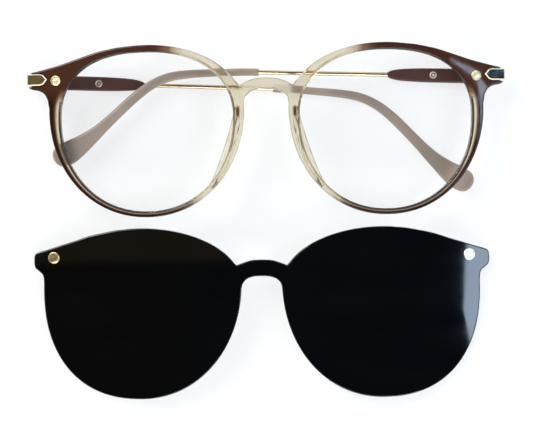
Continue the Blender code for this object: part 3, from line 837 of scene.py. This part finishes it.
def clip_outline():
    """The outer outline: bridge top, brow, lug, rim and the underside of the bridge, on
    the right and then mirrored."""
    bridge_top = smooth([(0, 14.35), (2.85, 14.2), (5.3, 13.5), (7.4, 12.7)])
    brow = lobe_arc(CLIP, 157, 84, 60)
    lug = smooth([
        (42.7, 23.2), (46.9, 22.4), (51.3, 21.4), (55.45, 20.0), (59.75, 18.65),
        (63.35, 17.5), (66.35, 16.6), (67.4, 16.0), (67.75, 14.9), (67.75, 12.8),
        (67.3, 11.75), (66.2, 10.8), (65.3, 9.9), (65.0, 8.9)])
    rim = lobe_arc(CLIP, 1, -178.5, 150)
    bridge_under = smooth([(5.7, 7.1), (5.1, 8.0), (3.9, 8.9), (2.0, 9.4), (0, 9.5)])
    return mirrored(bridge_top + brow + lug + rim + bridge_under)


def build_shield():
    """Both tinted lenses and the bridge between them, in one bent sheet."""
    shield = plate("clip_shown", [clip_outline()], -SHIELD_THICK, 0, SHIELD_EDGE)
    bend(slice_up(shield, SHIELD_GRID))
    hole = hole_profile(RIVET_HOLE_RADIUS, RIVET_HOLE_DEPTH)
    combine(shield, [seated("rivet_hole", hole, side) for side in SIDES], "DIFFERENCE")
    place(shield, CLIP_PLACE, "clip", TINTED, ["clip_shield"], 50,
          curved=True)


def build_clip_rivet(side):
    """A dished rivet head with its shank, gold on the left and silver on the right."""
    name = f"clip_rivet_{SIDES[side]}"
    rivet = seated(name + "_shown", [
        (0, 0.45), (0.6, 0.44), (1.2, 0.4), (1.32, 0.41), (1.4, 0.5), (1.56, 0.5),
        (1.68, 0.44), (1.75, 0.32), (1.75, 0.1), (0.8, 0.1), (0.8, -2.0), (0, -2.0)], side)
    paint, slot = (CLIP_GOLD, "gold_plate") if side < 0 else (SILVER, "silver_plate")
    place(rivet, CLIP_PLACE, "clip", paint, [name], 60)


# --- Pieces that are shown as they come from the frame ---------------------------------
def paint_frame_nodes():
    """Their shapes are right as they are, so they only get their metal."""
    kinds = {"front_hinge": STEEL, "hinge_screw": STEEL, "temple_hinge": STEEL,
             "front_magnet": NICKEL, "clip_magnet": NICKEL, "clip_magnet_cup": STEEL,
             "temple_rod": GOLD_ROD}
    for kind, paint in kinds.items():
        for side in SIDES.values():
            node = frame["nodes"][f"{kind}_{side}"]
            node.data.materials.clear()
            node.data.materials.append(paint)


# --- Table, light and camera -----------------------------------------------------------
# These are in metres, and the angle is in degrees.
TABLE_HEIGHT, TABLE_SOLIDITY = -0.0001, 0.25
FLOOR_HEIGHT, FLOOR_GLOW = -0.17, 0.42
WINDOW_HEIGHT = 1.0
WINDOW_COLOUR, WINDOW_STRENGTH = (0.62, 0.78, 1.0), 10.5
FACE_HEIGHT = 0.0135
CAMERA_HEIGHT, CAMERA_Y, CAMERA_TURN = 0.450, 0.0025, -0.75
SENSOR, LENS = 36, 104.4
# The room is painted by a direction's X, Y and Z: white up to one Z, dark from another.
BRIGHT_UP_TO, DARK_FROM = 0.38, 0.62
WALL_WHITE, BLACK = (1.0, 1.0, 1.02), (0.0, 0.0, 0.0)
CEILING_LEFT, CEILING_RIGHT = (0.018, 0.018, 0.016), (0.010, 0.020, 0.045)
FAR_WALL = (0.085, 0.065, 0.025)
FAR_WALL_Y, FAR_WALL_X = (-0.085, -0.06), (0.03, -0.03)
ROOM_STRENGTH = 1.5


def sheet(name, height, colour, glow, solidity):
    """A wide white sheet; solidity below 1 lets what lies under it show through."""
    shape = bmesh.new()
    bmesh.ops.create_grid(shape, x_segments=1, y_segments=1, size=3)
    mesh = bpy.data.meshes.new(name)
    shape.to_mesh(mesh)
    shape.free()
    made = add(name, mesh)
    paint, tree, shader = new_material(name)
    shader.inputs["Base Color"].default_value = (*colour, 1)
    shader.inputs["Roughness"].default_value = 0.6
    shader.inputs["Specular IOR Level"].default_value = 0.1
    shader.inputs["Emission Color"].default_value = (1, 1, 1, 1)
    shader.inputs["Emission Strength"].default_value = glow
    shader.inputs["Alpha"].default_value = solidity
    made.data.materials.append(paint)
    made.location.z = height


def build_table():
    """A white table top that lets some light through, over a white floor: the temples
    open downwards from the way they lie, and can then be seen through it."""
    sheet("table", TABLE_HEIGHT, (0.82, 0.82, 0.80), 0.0, TABLE_SOLIDITY)
    sheet("floor", FLOOR_HEIGHT, (0.5, 0.5, 0.49), FLOOR_GLOW, 1.0)


def build_world():
    """Bright round the sides and dark overhead, as in a room lit from its windows, with
    the dark a little warmer on the left, bluer on the right, and lighter far left."""
    world = bpy.data.worlds.new("room")
    bpy.context.scene.world = world
    world.use_nodes = True
    tree = world.node_tree
    where = tree.nodes.new("ShaderNodeTexCoord")
    x, y, z = axes(tree, where.outputs["Generated"])
    sides = ramp(tree, z, [(0.0, WALL_WHITE), (BRIGHT_UP_TO, WALL_WHITE),
                           (DARK_FROM, BLACK), (1.0, BLACK)])
    across = mapped(tree, x, 0.0, 1.0, -0.5, 0.5)
    overhead = ramp(tree, across, [(0.2, CEILING_LEFT), (0.8, CEILING_RIGHT)])
    far_left = times(tree, step(tree, y, *FAR_WALL_Y), step(tree, x, *FAR_WALL_X))
    far_wall = ramp(tree, far_left, [(0.0, BLACK), (1.0, FAR_WALL)])
    room = mixed(tree, "ADD", 1.0, mixed(tree, "ADD", 1.0, sides, overhead), far_wall)
    background = tree.nodes["Background"]
    background.inputs["Strength"].default_value = ROOM_STRENGTH
    tree.links.new(room, background.inputs["Color"])


def area_light(name, location, size, power):
    """A soft white light that points at the middle of the set."""
    data = bpy.data.lights.new(name, "AREA")
    data.shape = "RECTANGLE"
    data.size, data.size_y = size
    data.energy = power
    lamp = bpy.data.objects.new(name, data)
    lamp.location = location
    lamp.rotation_euler = (-Vector(location)).to_track_quat("-Z", "Y").to_euler()
    bpy.context.scene.collection.objects.link(lamp)


def window_panel():
    """The bright window to the right, which the clip's end and the front's end mirror.

    Its corners are degrees from straight up, to the right and towards the brow."""
    corners = [(30.9, -20.0), (46.0, -20.0), (46.0, 8.5), (33.6, 9.3), (31.8, 11.3),
               (31.1, 12.4), (30.9, 13.4), (30.4, 13.9), (28.5, 14.7), (27.0, 15.4),
               (26.8, 15.2), (28.8, 13.7), (29.9, 12.9), (30.5, 12.0), (30.6, 11.0),
               (30.8, 8.0), (30.6, 2.0), (29.4, -5.0), (29.4, -13.6)]
    slopes = [(math.tan(math.radians(x)), math.tan(math.radians(y)), 1)
              for x, y in corners]
    mesh = bpy.data.meshes.new("window")
    mesh.from_pydata([[WINDOW_HEIGHT * part for part in slope] for slope in slopes], [],
                     [range(len(corners))])
    window = add("window", mesh)
    made = bpy.data.materials.new("window_light")
    made.use_nodes = True
    tree = made.node_tree
    tree.nodes.clear()
    glow = tree.nodes.new("ShaderNodeEmission")
    glow.inputs["Color"].default_value = (*WINDOW_COLOUR, 1)
    glow.inputs["Strength"].default_value = WINDOW_STRENGTH
    out = tree.nodes.new("ShaderNodeOutputMaterial")
    tree.links.new(glow.outputs["Emission"], out.inputs["Surface"])
    window.data.materials.append(made)


def build_camera():
    """Straight down at the set, from CAMERA_HEIGHT above the front's face."""
    data = bpy.data.cameras.new("camera")
    data.sensor_width = SENSOR
    data.lens = LENS
    data.clip_start = 0.01
    camera = bpy.data.objects.new("camera", data)
    camera.location = (0, CAMERA_Y, FACE_HEIGHT + CAMERA_HEIGHT)
    camera.rotation_euler = (0, 0, math.radians(CAMERA_TURN))
    bpy.context.scene.collection.objects.link(camera)
    bpy.context.scene.camera = camera


build_front()
build_shield()
for side in SIDES:
    build_lens(side)
    build_end_cap(side)
    build_magnet_cap(side)
    build_sleeve(side)
    build_emblem(side)
    build_tip(side)
    build_clip_rivet(side)
paint_frame_nodes()
build_table()
build_world()
area_light("key", (-0.75, 0.75, 0.85), (0.7, 0.7), 16.0)
area_light("fill", (0.2, -1.1, 0.75), (0.9, 0.4), 9.0)
window_panel()
build_camera()
bpy.context.scene.view_settings.view_transform = "Standard"
